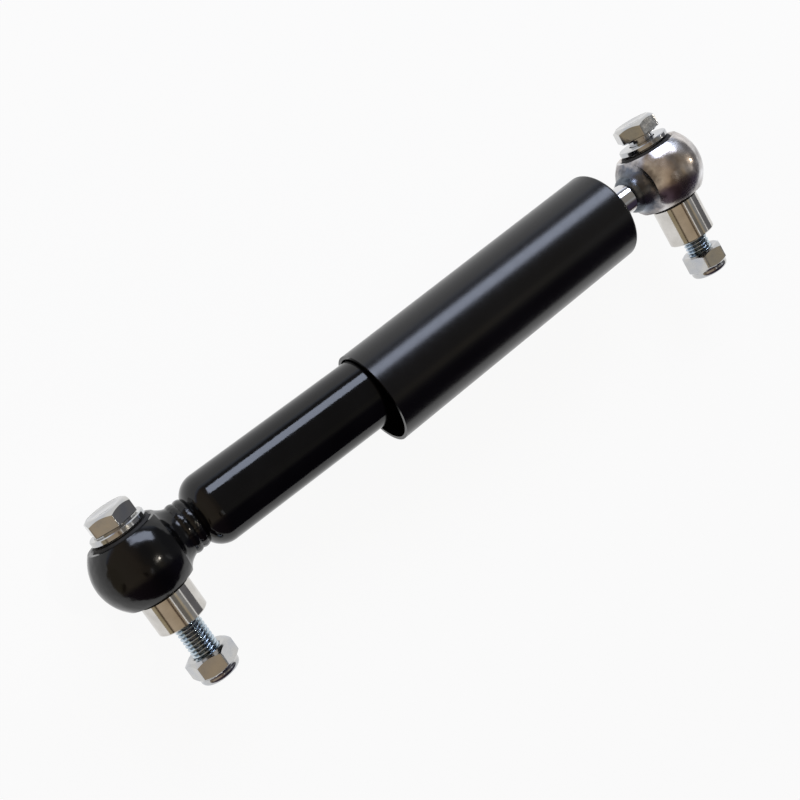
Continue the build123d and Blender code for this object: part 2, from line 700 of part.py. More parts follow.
def lock_nut(eye_x, seat_y, turn):
    """A locking nut: a bevelled hexagon and a round collar crimped over the nylon insert."""
    far_y = nut_far_y(seat_y)
    near_y = far_y + NUT_HEIGHT
    hex_far_y = near_y - NUT_HEX_HEIGHT
    insert_y = far_y + NUT_LIP + INSERT_HEIGHT
    hexagon = bevelled_hexagon_y(eye_x, hex_far_y, near_y, turn, True, True)
    root_y = hex_far_y + HEAD_WASHER_FACE
    roll_centre = (NUT_CRIMP_R - NUT_CRIMP_ROLL_R, far_y + NUT_CRIMP_ROLL_R)
    crimp = turned_y(
        eye_x,
        Line((0, root_y), (NUT_CRIMP_R, root_y)),
        Line((NUT_CRIMP_R, root_y), (NUT_CRIMP_R, roll_centre[1])),
        arc_about(roll_centre, NUT_CRIMP_ROLL_R, 0, -90),
        Line((roll_centre[0], far_y), (0, far_y)),
        Line((0, far_y), (0, root_y)),
    )
    hollow = turned_y_points(
        eye_x,
        (near_y, 0),
        (near_y, NUT_BORE_R + NUT_BORE_EDGE),
        (near_y - NUT_BORE_EDGE, NUT_BORE_R),
        (insert_y + INSERT_CLEARANCE, NUT_BORE_R),
        (insert_y + INSERT_CLEARANCE, INSERT_R),
        (far_y + NUT_LIP - INSERT_CLEARANCE, INSERT_R),
        (far_y + NUT_LIP - INSERT_CLEARANCE, NUT_MOUTH_R),
        (far_y, NUT_MOUTH_R),
        (far_y, 0),
    )
    return hexagon + crimp - hollow


def nut_insert(eye_x, seat_y):
    """The nylon ring that grips the thread, in the crimped end of a nut."""
    start = nut_far_y(seat_y) + NUT_LIP
    return bevelled_ring_y(
        eye_x, start, start + INSERT_HEIGHT, NUT_BORE_R, INSERT_R - INSERT_CLEARANCE, INSERT_CLEARANCE
    )


LOWER_SEAT_Y = WASHER_TOP_Y
UPPER_SEAT_Y = WASHER_TOP_Y + UPPER_HEAD_GAP

PARTS = {
    "reservoir_tube": reservoir_tube(),
    "lower_eye": lower_eye(),
    "lower_eye_weld": lower_eye_weld(),
    "pressure_tube": pressure_tube(),
    "base_valve_body": base_valve_body(),
    "base_check_disc": base_check_disc(),
    "base_check_spring": base_check_spring(),
    "base_valve_shims": base_valve_shims(),
    "base_valve_rivet": base_valve_rivet(),
    "rod_guide": rod_guide(),
    "rod_guide_bush": rod_guide_bush(),
    "guide_o_ring": guide_o_ring(),
    "rod_seal": rod_seal(),
    "seal_garter_spring": seal_garter_spring(),
    "seal_cap": seal_cap(),
    "piston_rod": piston_rod(),
    "piston": piston(),
    "piston_band": piston_band(),
    "rebound_shims": rebound_shims(),
    "piston_nut": piston_nut(),
    "intake_valve_plate": intake_valve_plate(),
    "intake_spring": intake_spring(),
    "rebound_stop_collar": rebound_stop_collar(),
    "rebound_bumper": rebound_bumper(),
    "cover_clip": cover_clip(),
    "dust_cover": dust_cover(),
    "upper_eye": upper_eye(),
    "upper_eye_weld": upper_eye_weld(),
}
ENDS = (
    ("lower", 0.0, LOWER_COLLAR_LENGTH, LOWER_SEAT_Y, LOWER_HEAD_TURN, LOWER_NUT_TURN),
    ("upper", EYE_TO_EYE, UPPER_COLLAR_LENGTH, UPPER_SEAT_Y, UPPER_HEAD_TURN, UPPER_NUT_TURN),
)
for end_name, eye_x, collar_length, seat_y, head_turn, nut_turn in ENDS:
    PARTS[end_name + "_bush_rubber"] = bush_rubber(eye_x)
    PARTS[end_name + "_bush_sleeve"] = bush_sleeve(eye_x)
    PARTS[end_name + "_washer"] = washer(eye_x)
    PARTS[end_name + "_collar"] = collar(eye_x, collar_length)
    PARTS[end_name + "_bolt"] = bolt(eye_x, seat_y, head_turn)
    PARTS[end_name + "_nut"] = lock_nut(eye_x, seat_y, nut_turn)
    PARTS[end_name + "_nut_insert"] = nut_insert(eye_x, seat_y)

for node, shape in PARTS.items():
    shape.label = node
    export_step(shape, os.path.join("parts", node + ".step"))
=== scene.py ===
import math

import bpy
from mathutils import Matrix, Vector


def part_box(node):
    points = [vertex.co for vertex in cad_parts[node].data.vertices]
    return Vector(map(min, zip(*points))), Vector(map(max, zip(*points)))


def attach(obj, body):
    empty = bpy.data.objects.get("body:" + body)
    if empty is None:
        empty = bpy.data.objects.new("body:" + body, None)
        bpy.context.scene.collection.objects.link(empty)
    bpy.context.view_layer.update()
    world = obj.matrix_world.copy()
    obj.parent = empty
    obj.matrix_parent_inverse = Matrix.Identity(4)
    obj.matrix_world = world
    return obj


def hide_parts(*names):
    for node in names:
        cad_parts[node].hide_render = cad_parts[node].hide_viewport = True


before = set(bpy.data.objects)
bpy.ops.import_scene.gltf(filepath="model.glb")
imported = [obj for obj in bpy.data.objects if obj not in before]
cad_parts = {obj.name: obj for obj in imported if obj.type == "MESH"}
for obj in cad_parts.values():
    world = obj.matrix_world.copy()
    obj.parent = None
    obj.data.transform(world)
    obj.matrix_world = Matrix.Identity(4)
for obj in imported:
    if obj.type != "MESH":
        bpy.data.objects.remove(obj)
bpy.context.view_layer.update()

# The trailer shock absorber lies on its side on a pale floor. Metres, in the CAD frame:
# +X along the damper, +Y along the bolts towards their heads, +Z up.
MM = 0.001

# Where the bolts stand, and the turn of each hexagon about its bolt, in degrees
EYE_X = {"lower": 0.0, "upper": 0.3}
HEAD_TURNS = {"lower": 30.0, "upper": 6.0}
NUT_TURNS = {"lower": -15.0, "upper": -6.0}

# The hexagons of heads and nuts. Their corners are rounded, and turned down outside a round face.
HEX_FLATS = 19 * MM
HEX_CORNER_ROUND = 0.6 * MM
HEX_FLAT_STEPS = 5
HEX_CORNER_STEPS = 4
HEX_CHAMFER_SLOPE = math.tan(math.radians(34))
HEX_FACE_R = HEX_FLATS / 2 * 0.90

# The bolts: a head with a shallow dish in its top, a bearing face, a fillet and the shank
HEAD_HEIGHT = 7.5 * MM
HEAD_DISH_DEPTH = 0.12 * MM
HEAD_DISH_FLOOR_R = HEX_FACE_R * 0.6
HEAD_DISH_RIM_R = HEX_FACE_R * 0.66
HEAD_UNDER_BEVEL = 0.3 * MM
HEAD_SEAT = 0.6 * MM
HEAD_SEAT_R = HEX_FLATS / 2 - HEAD_SEAT
SHANK_R = 5.93 * MM
SHANK_FILLET = 0.5 * MM

# The thread. Its flank runs between two shares of half a pitch, and its tip is cut at a slant.
THREAD_PITCH = 1.75 * MM
THREAD_STEPS_PER_PITCH = 10
THREAD_CREST_R = 5.93 * MM
THREAD_DEPTH = 0.95 * MM
THREAD_LENGTH = 30 * MM
FLANK_TOP_SHARE = 0.12
FLANK_FOOT_SHARE = 0.86
TIP_CUT_DEPTH = 1.3 * MM
TIP_CUT_LENGTH = 2.2 * MM
# Faces of the thread inside this radius are coloured with the painted shade of the roots
THREAD_ROOT_R = THREAD_CREST_R - THREAD_DEPTH * 0.72

# The nuts: a bore with a countersink, a collar rolled in at the far end, and a pocket for the insert
NUT_HEX_HEIGHT = 8.6 * MM
NUT_BORE_R = THREAD_CREST_R + 0.03 * MM
NUT_COUNTERSINK = 0.7 * MM
NUT_CRIMP_R = 8.95 * MM
NUT_CRIMP_FLARE = 0.05 * MM
NUT_CRIMP_FOOT = 0.25 * MM
NUT_CRIMP_SHOULDER = 0.6 * MM
NUT_ROLL_HEIGHT = 2.1 * MM
NUT_ROLL_WIDTH = 1.68 * MM
NUT_ROLL_STEPS = 8
NUT_MOUTH_R = 7.05 * MM
NUT_MOUTH_LIP_R = NUT_MOUTH_R + 0.15 * MM
NUT_MOUTH_LIP_Y = 0.05 * MM
NUT_MOUTH_Y = 0.25 * MM
NUT_POCKET_R = 7.6 * MM
NUT_POCKET_START = 0.75 * MM
NUT_POCKET_END = 3.45 * MM


def smooth_step(low, high, value):
    """0 up to low, 1 from high on, and a smooth rise between them. Low may be the larger of the two."""
    share = min(max((value - low) / (high - low), 0.0), 1.0)
    return share * share * (3 - 2 * share)


def mesh_piece(name, vertices, faces, sharp_degrees=32):
    """A mesh object with smooth shading that breaks at sharp edges."""
    mesh = bpy.data.meshes.new(name)
    mesh.from_pydata([tuple(v) for v in vertices], [], faces)
    mesh.validate()
    mesh.update()
    piece = bpy.data.objects.new(name, mesh)
    bpy.context.scene.collection.objects.link(piece)
    mesh.shade_smooth()
    mesh.set_sharp_from_angle(angle=math.radians(sharp_degrees))
    return piece


def ring_solid(name, rings, joined=False, sharp_degrees=32):
    """A solid from rings of points that follow each other down the bolt, with its faces outwards.

    All rings have the same count, and a ring of one point is a tip. A joined solid has no tips:
    its last ring meets its first.
    """
    vertices = []
    starts = []
    for ring in rings:
        starts.append(len(vertices))
        vertices.extend(ring)
    faces = []
    for low, high, first, second in zip(rings, rings[1:], starts, starts[1:]):
        count = max(len(low), len(high))
        for i in range(count):
            j = (i + 1) % count
            if len(low) == 1:
                faces.append((first, second + i, second + j))
            elif len(high) == 1:
                faces.append((first + j, first + i, second))
            else:
                faces.append((first + j, first + i, second + i, second + j))
    if joined:
        count = len(rings[0])
        last = starts[-1]
        for i in range(count):
            j = (i + 1) % count
            faces.append((last + j, last + i, i, j))
    return mesh_piece(name, vertices, faces, sharp_degrees)


def hexagon_outline(turn_degrees):
    """(angle, radius) pairs around a hexagon with rounded corners. At turn 0 a flat faces up."""
    flat_r = HEX_FLATS / 2
    half_side = math.radians(30)
    centre_r = (flat_r - HEX_CORNER_ROUND) / math.cos(half_side)
    edge_angle = math.atan2(centre_r * math.sin(half_side), flat_r)
    outline = []
    for side in range(6):
        middle = math.radians(turn_degrees + 60 * side)
        for step in range(-HEX_FLAT_STEPS, HEX_FLAT_STEPS + 1):
            angle = edge_angle * step / HEX_FLAT_STEPS
            outline.append((middle + angle, flat_r / math.cos(angle)))
        for step in range(1, HEX_CORNER_STEPS):
            bend = math.radians(60 * step / HEX_CORNER_STEPS)
            outward = centre_r * math.cos(half_side) + HEX_CORNER_ROUND * math.cos(bend)
            sideways = centre_r * math.sin(half_side) + HEX_CORNER_ROUND * math.sin(bend)
            outline.append((middle + math.atan2(sideways, outward), math.hypot(outward, sideways)))
    return outline


def point_about_bolt(eye_x, angle, radius, y):
    """A point at an angle about a bolt's axis, measured from +Z towards +X."""
    return (eye_x + radius * math.sin(angle), y, radius * math.cos(angle))


def round_ring(eye_x, angles, radius, y):
    """A ring about a bolt's axis with one radius."""
    return [point_about_bolt(eye_x, a, radius, y) for a in angles]


def chamfered_ring(eye_x, outline, face_r, face_y, direction):
    """The edge where a hexagon's sides meet its turned-down corners, next to the face at face_y."""
    return [
        point_about_bolt(eye_x, a, r, face_y - direction * max(r - face_r, 0) * HEX_CHAMFER_SLOPE)
        for a, r in outline
    ]


def bolt(end):
    """An M12 bolt: a chamfered head on its bearing face, a plain shank and a rolled thread."""
    eye_x = EYE_X[end]
    low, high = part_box(end + "_bolt")
    top_y = high.y
    under_y = top_y - HEAD_HEIGHT + HEAD_SEAT
    seat_y = top_y - HEAD_HEIGHT
    tip_y = low.y
    thread_y = tip_y + THREAD_LENGTH
    shank_end_y = thread_y + THREAD_PITCH
    outline = hexagon_outline(HEAD_TURNS[end])
    angles = [a for a, _ in outline]
    rings = [
        [(eye_x, top_y - HEAD_DISH_DEPTH, 0)],
        round_ring(eye_x, angles, HEAD_DISH_FLOOR_R, top_y - HEAD_DISH_DEPTH),
        round_ring(eye_x, angles, HEAD_DISH_RIM_R, top_y),
        round_ring(eye_x, angles, HEX_FACE_R, top_y),
        chamfered_ring(eye_x, outline, HEX_FACE_R, top_y, 1),
        [point_about_bolt(eye_x, a, r, under_y + HEAD_UNDER_BEVEL) for a, r in outline],
        [point_about_bolt(eye_x, a, r - HEAD_UNDER_BEVEL, under_y) for a, r in outline],
        round_ring(eye_x, angles, HEAD_SEAT_R, under_y),
        round_ring(eye_x, angles, HEAD_SEAT_R, seat_y),
        round_ring(eye_x, angles, SHANK_R + SHANK_FILLET, seat_y),
        round_ring(eye_x, angles, SHANK_R, seat_y - SHANK_FILLET),
        round_ring(eye_x, angles, SHANK_R, shank_end_y),
    ]
    count = int((THREAD_LENGTH + THREAD_PITCH) / THREAD_PITCH * THREAD_STEPS_PER_PITCH)
    for i in range(1, count + 1):
        y = shank_end_y - (THREAD_LENGTH + THREAD_PITCH) * i / count
        run_out = smooth_step(shank_end_y, thread_y - THREAD_PITCH, y)
        tip_cut = TIP_CUT_DEPTH * smooth_step(tip_y + TIP_CUT_LENGTH, tip_y, y)
        ring = []
        for angle in angles:
            phase = (y / THREAD_PITCH - angle / (2 * math.pi)) % 1.0
            flank = abs(phase - 0.5) * 2
            cut = THREAD_DEPTH * smooth_step(FLANK_TOP_SHARE, FLANK_FOOT_SHARE, flank) * run_out
            radius = min(THREAD_CREST_R - cut, THREAD_CREST_R - tip_cut)
            ring.append(point_about_bolt(eye_x, angle, radius, y))
        rings.append(ring)
    rings.append([(eye_x, tip_y, 0)])
    piece = ring_solid(end + "_bolt_threaded", rings, sharp_degrees=40)
    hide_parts(end + "_bolt")
    return piece


def lock_nut(end):
    """A locking nut: bevelled hexagon, and a round collar rolled in over the nylon insert."""
    eye_x = EYE_X[end]
    low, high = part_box(end + "_nut")
    far_y = low.y
    near_y = high.y
    hex_far_y = near_y - NUT_HEX_HEIGHT
    outline = hexagon_outline(NUT_TURNS[end])
    angles = [a for a, _ in outline]
    rings = [
        round_ring(eye_x, angles, NUT_BORE_R, near_y - NUT_COUNTERSINK),
        round_ring(eye_x, angles, NUT_BORE_R + NUT_COUNTERSINK, near_y),
        round_ring(eye_x, angles, HEX_FACE_R, near_y),
        chamfered_ring(eye_x, outline, HEX_FACE_R, near_y, 1),
        chamfered_ring(eye_x, outline, NUT_CRIMP_R, hex_far_y, -1),
        round_ring(eye_x, angles, NUT_CRIMP_R + NUT_CRIMP_FLARE, hex_far_y - NUT_CRIMP_FOOT),
        round_ring(eye_x, angles, NUT_CRIMP_R - NUT_CRIMP_FLARE, hex_far_y - NUT_CRIMP_SHOULDER),
    ]
    for step in range(NUT_ROLL_STEPS + 1):
        bend = math.radians(90 * step / NUT_ROLL_STEPS)
        radius = NUT_CRIMP_R - NUT_ROLL_WIDTH * (1 - math.cos(bend))
        rings.append(round_ring(eye_x, angles, radius, far_y + NUT_ROLL_HEIGHT * (1 - math.sin(bend))))
    for radius, inward in (
        (NUT_MOUTH_LIP_R, NUT_MOUTH_LIP_Y),
        (NUT_MOUTH_R, NUT_MOUTH_Y),
        (NUT_MOUTH_R, NUT_POCKET_START),
        (NUT_POCKET_R, NUT_POCKET_START),
        (NUT_POCKET_R, NUT_POCKET_END),
        (NUT_BORE_R, NUT_POCKET_END),
    ):
        rings.append(round_ring(eye_x, angles, radius, far_y + inward))
    piece = ring_solid(end + "_nut_crimped", rings, joined=True, sharp_degrees=24)
    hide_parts(end + "_nut")
    return piece


# Materials

# The upper eye's neck, from the weld to the ball, and the painted shade along it, darkest next to the
# weld
NECK_START_X = 0.280
NECK_END_X = 0.289
NECK_SHADE_STOPS = [
    (0.0, (0.24, 0.28, 0.34)),
    (0.34, (0.17, 0.19, 0.23)),
    (0.60, (0.52, 0.50, 0.50)),
    (0.82, (1, 1, 1)),
]
NECK_UNEVENNESS = 0.14

# Nearly all values of a noise lie between these two
NOISE_LOW = 0.3
NOISE_HIGH = 0.7


def new_material(name, colour, metallic, roughness, **sockets):
    """A Principled material, with the sockets that are the same all over set on the shader."""
    material = bpy.data.materials.new(name)
    material.use_nodes = True
    tree = material.node_tree
    shader = tree.nodes["Principled BSDF"]
    shader.inputs["Base Color"].default_value = (*colour, 1)
    shader.inputs["Metallic"].default_value = metallic
    shader.inputs["Roughness"].default_value = roughness
    for socket, value in sockets.items():
        shader.inputs[socket.replace("_", " ")].default_value = value
    return material, tree, shader


def noise_node(tree, scale, detail=3.0, stretch=(1, 1, 1)):
    """A noise texture in the object's own coordinates, in cells per metre, finer where stretched."""
    place = tree.nodes.new("ShaderNodeTexCoord")
    mapping = tree.nodes.new("ShaderNodeMapping")
    mapping.inputs["Scale"].default_value = stretch
    noise = tree.nodes.new("ShaderNodeTexNoise")
    noise.inputs["Scale"].default_value = scale
    noise.inputs["Detail"].default_value = detail
    noise.inputs["Roughness"].default_value = 0.55
    tree.links.new(place.outputs["Object"], mapping.inputs["Vector"])
    tree.links.new(mapping.outputs["Vector"], noise.inputs["Vector"])
    return noise.outputs["Fac"]


def ramp_node(tree, value, stops):
    """A colour ramp over a value, from (place, colour) stops."""
    ramp = tree.nodes.new("ShaderNodeValToRGB")
    ramp.color_ramp.elements[0].position = stops[0][0]
    ramp.color_ramp.elements[0].color = (*stops[0][1], 1)
    ramp.color_ramp.elements[1].position = stops[-1][0]
    ramp.color_ramp.elements[1].color = (*stops[-1][1], 1)
    for place, colour in stops[1:-1]:
        element = ramp.color_ramp.elements.new(place)
        element.color = (*colour, 1)
    tree.links.new(value, ramp.inputs["Fac"])
    return ramp.outputs["Color"]


def map_range(tree, value, low, high, from_low=NOISE_LOW, from_high=NOISE_HIGH):
    """A value moved from one range to another. It stays within the new range."""
    node = tree.nodes.new("ShaderNodeMapRange")
    node.inputs["From Min"].default_value = from_low
    node.inputs["From Max"].default_value = from_high
    node.inputs["To Min"].default_value = low
    node.inputs["To Max"].default_value = high
    tree.links.new(value, node.inputs["Value"])
    return node.outputs["Result"]


def set_two_tones(tree, shader, noise, dark, light):
    """Lets the shader's colour follow a noise, from a dark to a light tone."""
    tone = ramp_node(tree, noise, [(NOISE_LOW, dark), (NOISE_HIGH, light)])
    tree.links.new(tone, shader.inputs["Base Color"])


def set_roughness(tree, shader, noise, low, high):
    """Lets the shader's roughness follow a noise, from a low to a high value."""
    tree.links.new(map_range(tree, noise, low, high), shader.inputs["Roughness"])


def mix_node(tree, kind, first, second):
    """Two colours mixed in full, in one of Blender's ways of mixing."""
    mix = tree.nodes.new("ShaderNodeMixRGB")
    mix.blend_type = kind
    mix.inputs["Fac"].default_value = 1.0
    tree.links.new(first, mix.inputs["Color1"])
    tree.links.new(second, mix.inputs["Color2"])
    return mix.outputs["Color"]


def add_bump(tree, shader, height, strength, distance):
    """Bumps the shader's normal by a height."""
    bump = tree.nodes.new("ShaderNodeBump")
    bump.inputs["Strength"].default_value = strength
    bump.inputs["Distance"].default_value = distance
    tree.links.new(height, bump.inputs["Height"])
    tree.links.new(bump.outputs["Normal"], shader.inputs["Normal"])


def black_enamel(name, roughness, ripple, ripple_scale, ripple_depth):
    """Gloss black, with ripples in its surface and a roughness that varies between two values."""
    material, tree, shader = new_material(name, (0.003, 0.003, 0.003), 0.0, 0.1, Specular_IOR_Level=0.38)
    set_two_tones(tree, shader, noise_node(tree, 60), (0.0012, 0.0012, 0.0015), (0.003, 0.003, 0.0035))
    set_roughness(tree, shader, noise_node(tree, 140, 5), *roughness)
    add_bump(tree, shader, noise_node(tree, ripple_scale, 2), ripple, ripple_depth)
    return material


def satin_black():
    """Semi-matt black of the dust cover, with a fine even grain."""
    material, tree, shader = new_material(
        "satin_black", (0.003, 0.003, 0.003), 0.0, 0.24, Specular_IOR_Level=0.44
    )
    set_two_tones(tree, shader, noise_node(tree, 35), (0.002, 0.002, 0.0025), (0.004, 0.004, 0.005))
    set_roughness(tree, shader, noise_node(tree, 300, 3), 0.21, 0.25)
    add_bump(tree, shader, noise_node(tree, 1800, 2), 0.03, 0.0001)
    return material


def neck_painted_shade(tree):
    """Painted shade on the upper eye's concave neck beside the weld. It fades out over the neck, with an
    uneven edge.
    """
    place = tree.nodes.new("ShaderNodeTexCoord")
    split = tree.nodes.new("ShaderNodeSeparateXYZ")
    tree.links.new(place.outputs["Object"], split.inputs["Vector"])
    along = map_range(tree, split.outputs["X"], 0, 1, NECK_START_X, NECK_END_X)
    shift = map_range(tree, noise_node(tree, 260, 2), -NECK_UNEVENNESS, NECK_UNEVENNESS)
    uneven = tree.nodes.new("ShaderNodeMath")
    uneven.operation = "ADD"
    tree.links.new(along, uneven.inputs[0])
    tree.links.new(shift, uneven.inputs[1])
    return ramp_node(tree, uneven.outputs["Value"], NECK_SHADE_STOPS)


def forged_steel():
    """Bare steel, ground over an uneven forging, with dark patches, brown stains and painted shade on
    the neck.
    """
    material, tree, shader = new_material("forged_steel", (0.6, 0.59, 0.57), 1.0, 0.24)
    tone = ramp_node(
        tree,
        noise_node(tree, 78, 3),
        [
            (0.28, (0.22, 0.20, 0.21)),
            (0.42, (0.44, 0.42, 0.41)),
            (0.54, (0.66, 0.65, 0.66)),
            (0.70, (0.88, 0.89, 0.92)),
        ],
    )
    stain = ramp_node(tree, noise_node(tree, 34, 2), [(0.42, (1, 1, 1)), (0.62, (0.84, 0.72, 0.60))])
    stained = mix_node(tree, "MULTIPLY", tone, stain)
    # The neck's painted shade darkens the colour from the weld towards the ball
    tree.links.new(mix_node(tree, "MULTIPLY", stained, neck_painted_shade(tree)), shader.inputs["Base Color"])
    set_roughness(tree, shader, noise_node(tree, 150, 3), 0.17, 0.30)
    add_bump(tree, shader, noise_node(tree, 95, 2), 0.32, 0.0012)
    return material


def bright_zinc(name, tint):
    """Bright zinc plate of one tint, with cooler clouds and fine marks."""
    material, tree, shader = new_material(name, tint, 1.0, 0.12)
    cool = (tint[0] * 0.84, tint[1] * 0.88, tint[2] * 0.97)
    tone = ramp_node(tree, noise_node(tree, 130, 4), [(0.34, cool), (0.62, tint)])
    tree.links.new(tone, shader.inputs["Base Color"])
    set_roughness(tree, shader, noise_node(tree, 420, 5), 0.07, 0.17)
    add_bump(tree, shader, noise_node(tree, 520, 4), 0.08, 0.0003)
    return material


def turned_steel():
    """Machined and plated steel, with fine lines around the bolt's axis."""
    material, tree, shader = new_material("turned_steel", (0.62, 0.60, 0.57), 1.0, 0.12)
    set_two_tones(tree, shader, noise_node(tree, 160, 3), (0.56, 0.54, 0.51), (0.68, 0.66, 0.63))
    set_roughness(tree, shader, noise_node(tree, 300, 4, (1, 6, 1)), 0.06, 0.14)
    add_bump(tree, shader, noise_node(tree, 1200, 2, (0.05, 3, 0.05)), 0.06, 0.0002)
    return material


def plain_steel():
    """Plain machined steel of the hidden pieces."""
    material, tree, shader = new_material("plain_steel", (0.5, 0.5, 0.5), 1.0, 0.3)
    set_roughness(tree, shader, noise_node(tree, 300, 4), 0.22, 0.40)
    set_two_tones(tree, shader, noise_node(tree, 90, 3), (0.42, 0.42, 0.43), (0.56, 0.56, 0.57))
    return material


def chrome_rod():
    """The ground and chromed rod, with fine lines along its length."""
    material, tree, shader = new_material("chrome_rod", (0.75, 0.75, 0.76), 1.0, 0.08)
    set_roughness(tree, shader, noise_node(tree, 400, 3, (1, 8, 8)), 0.05, 0.14)
    set_two_tones(tree, shader, noise_node(tree, 60, 2), (0.70, 0.70, 0.71), (0.80, 0.80, 0.81))
    return material


def soft_rubber():
    """Matt black rubber with a dusty tone."""
    material, tree, shader = new_material("soft_rubber", (0.02, 0.02, 0.02), 0.0, 0.75)
    set_two_tones(tree, shader, noise_node(tree, 200, 4), (0.014, 0.014, 0.014), (0.032, 0.031, 0.030))
    add_bump(tree, shader, noise_node(tree, 900, 3), 0.2, 0.0002)
    return material


def milky_nylon():
    """The translucent nylon of the nut inserts."""
    material, tree, shader = new_material(
        "milky_nylon", (0.62, 0.68, 0.74), 0.0, 0.38, Subsurface_Weight=0.25, Subsurface_Scale=0.002
    )
    set_two_tones(tree, shader, noise_node(tree, 240, 3), (0.56, 0.62, 0.70), (0.70, 0.75, 0.80))
    return material


def low_friction_lining(name, dark, light, metallic, roughness):
    """The lining of the rod guide or the band of the piston: an even, slightly speckled tone."""
    material, tree, shader = new_material(name, light, metallic, roughness)
    set_two_tones(tree, shader, noise_node(tree, 1100, 3), dark, light)
    return material


def sintered_iron():
    """Dull grey sintered iron with pores."""
    material, tree, shader = new_material("sintered_iron", (0.2, 0.2, 0.2), 0.8, 0.55)
    set_two_tones(tree, shader, noise_node(tree, 900, 5), (0.12, 0.12, 0.12), (0.26, 0.26, 0.26))
    add_bump(tree, shader, noise_node(tree, 1500, 4), 0.3, 0.0002)
    return material


def bare_weld():
    """Bare weld metal, dark and slightly burnt."""
    material, tree, shader = new_material("bare_weld", (0.2, 0.2, 0.2), 1.0, 0.3)
    set_two_tones(tree, shader, noise_node(tree, 300, 4), (0.05, 0.06, 0.07), (0.16, 0.18, 0.21))
    add_bump(tree, shader, noise_node(tree, 400, 3), 0.4, 0.0006)
    return material


ENAMEL = black_enamel("black_enamel", (0.06, 0.13), 0.06, 420, 0.0004)
EYE_ENAMEL = black_enamel("eye_enamel", (0.12, 0.18), 0.45, 105, 0.0009)
WELD_ENAMEL = black_enamel("weld_enamel", (0.06, 0.13), 0.6, 480, 0.0006)
SATIN = satin_black()
FORGED = forged_steel()
ZINC = bright_zinc("bright_zinc", (0.55, 0.545, 0.53))
THREAD_ZINC = bright_zinc("thread_zinc", (0.56, 0.64, 0.69))
# A dark copy of the thread's zinc: painted shade in the thread's roots
ROOT_PAINTED_SHADE = bright_zinc("thread_root_painted_shade", (0.15, 0.18, 0.20))
TURNED = turned_steel()
STEEL = plain_steel()
CHROME = chrome_rod()
RUBBER = soft_rubber()
NYLON = milky_nylon()
SINTER = sintered_iron()
BARE_WELD = bare_weld()
BRONZE = low_friction_lining("bronze_lining", (0.42, 0.31, 0.16), (0.60, 0.46, 0.27), 1.0, 0.3)
BAND = low_friction_lining("filled_plastic", (0.20, 0.11, 0.05), (0.34, 0.20, 0.10), 0.0, 0.5)

NODE_MATERIALS = {
    "reservoir_tube": ENAMEL,
    "lower_eye": EYE_ENAMEL,
    "lower_eye_weld": WELD_ENAMEL,
    "dust_cover": SATIN,
    "upper_eye": FORGED,
    "upper_eye_weld": BARE_WELD,
    "piston_rod": CHROME,
    "base_valve_body": SINTER,
    "rod_guide": SINTER,
    "piston": SINTER,
    "guide_o_ring": RUBBER,
    "rod_seal": RUBBER,
    "rebound_bumper": RUBBER,
    "piston_band": BAND,
    "rod_guide_bush": BRONZE,
    "lower_bush_rubber": RUBBER,
    "upper_bush_rubber": RUBBER,
    "lower_collar": TURNED,
    "upper_collar": TURNED,
    "lower_washer": ZINC,
    "upper_washer": ZINC,
    "lower_nut_insert": NYLON,
    "upper_nut_insert": NYLON,
}
for node_name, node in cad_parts.items():
    node.data.materials.clear()
    node.data.materials.append(NODE_MATERIALS.get(node_name, STEEL))

BOLT_MATERIALS = [ZINC, THREAD_ZINC, ROOT_PAINTED_SHADE]
CREST_INDEX = 1
ROOT_SHADE_INDEX = 2
for end in ("lower", "upper"):
    threaded = bolt(end)
    for material in BOLT_MATERIALS:
        threaded.data.materials.append(material)
    thread_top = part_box(end + "_bolt")[0].y + THREAD_LENGTH + THREAD_PITCH
    # Thread faces inside the root radius get the painted shade, the others the crest zinc
    for polygon in threaded.data.polygons:
        centre = polygon.center
        if centre.y < thread_top:
            in_shaded_root = math.hypot(centre.x - EYE_X[end], centre.z) < THREAD_ROOT_R
            polygon.material_index = ROOT_SHADE_INDEX if in_shaded_root else CREST_INDEX
    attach(threaded, end + "_bolt_body")
    crimped = lock_nut(end)
    crimped.data.materials.append(ZINC)
    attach(crimped, end + "_nut_body")


# Floor, room and lamps
FLOOR_Z = -0.022
FLOOR_HALF = 12.0
FLOOR_COLOUR = (0.86, 0.86, 0.86, 1)
FLOOR_WHITE_SHARE = 0.93
FLOOR_FADE_START = 0.35
FLOOR_FADE_END = 1.2

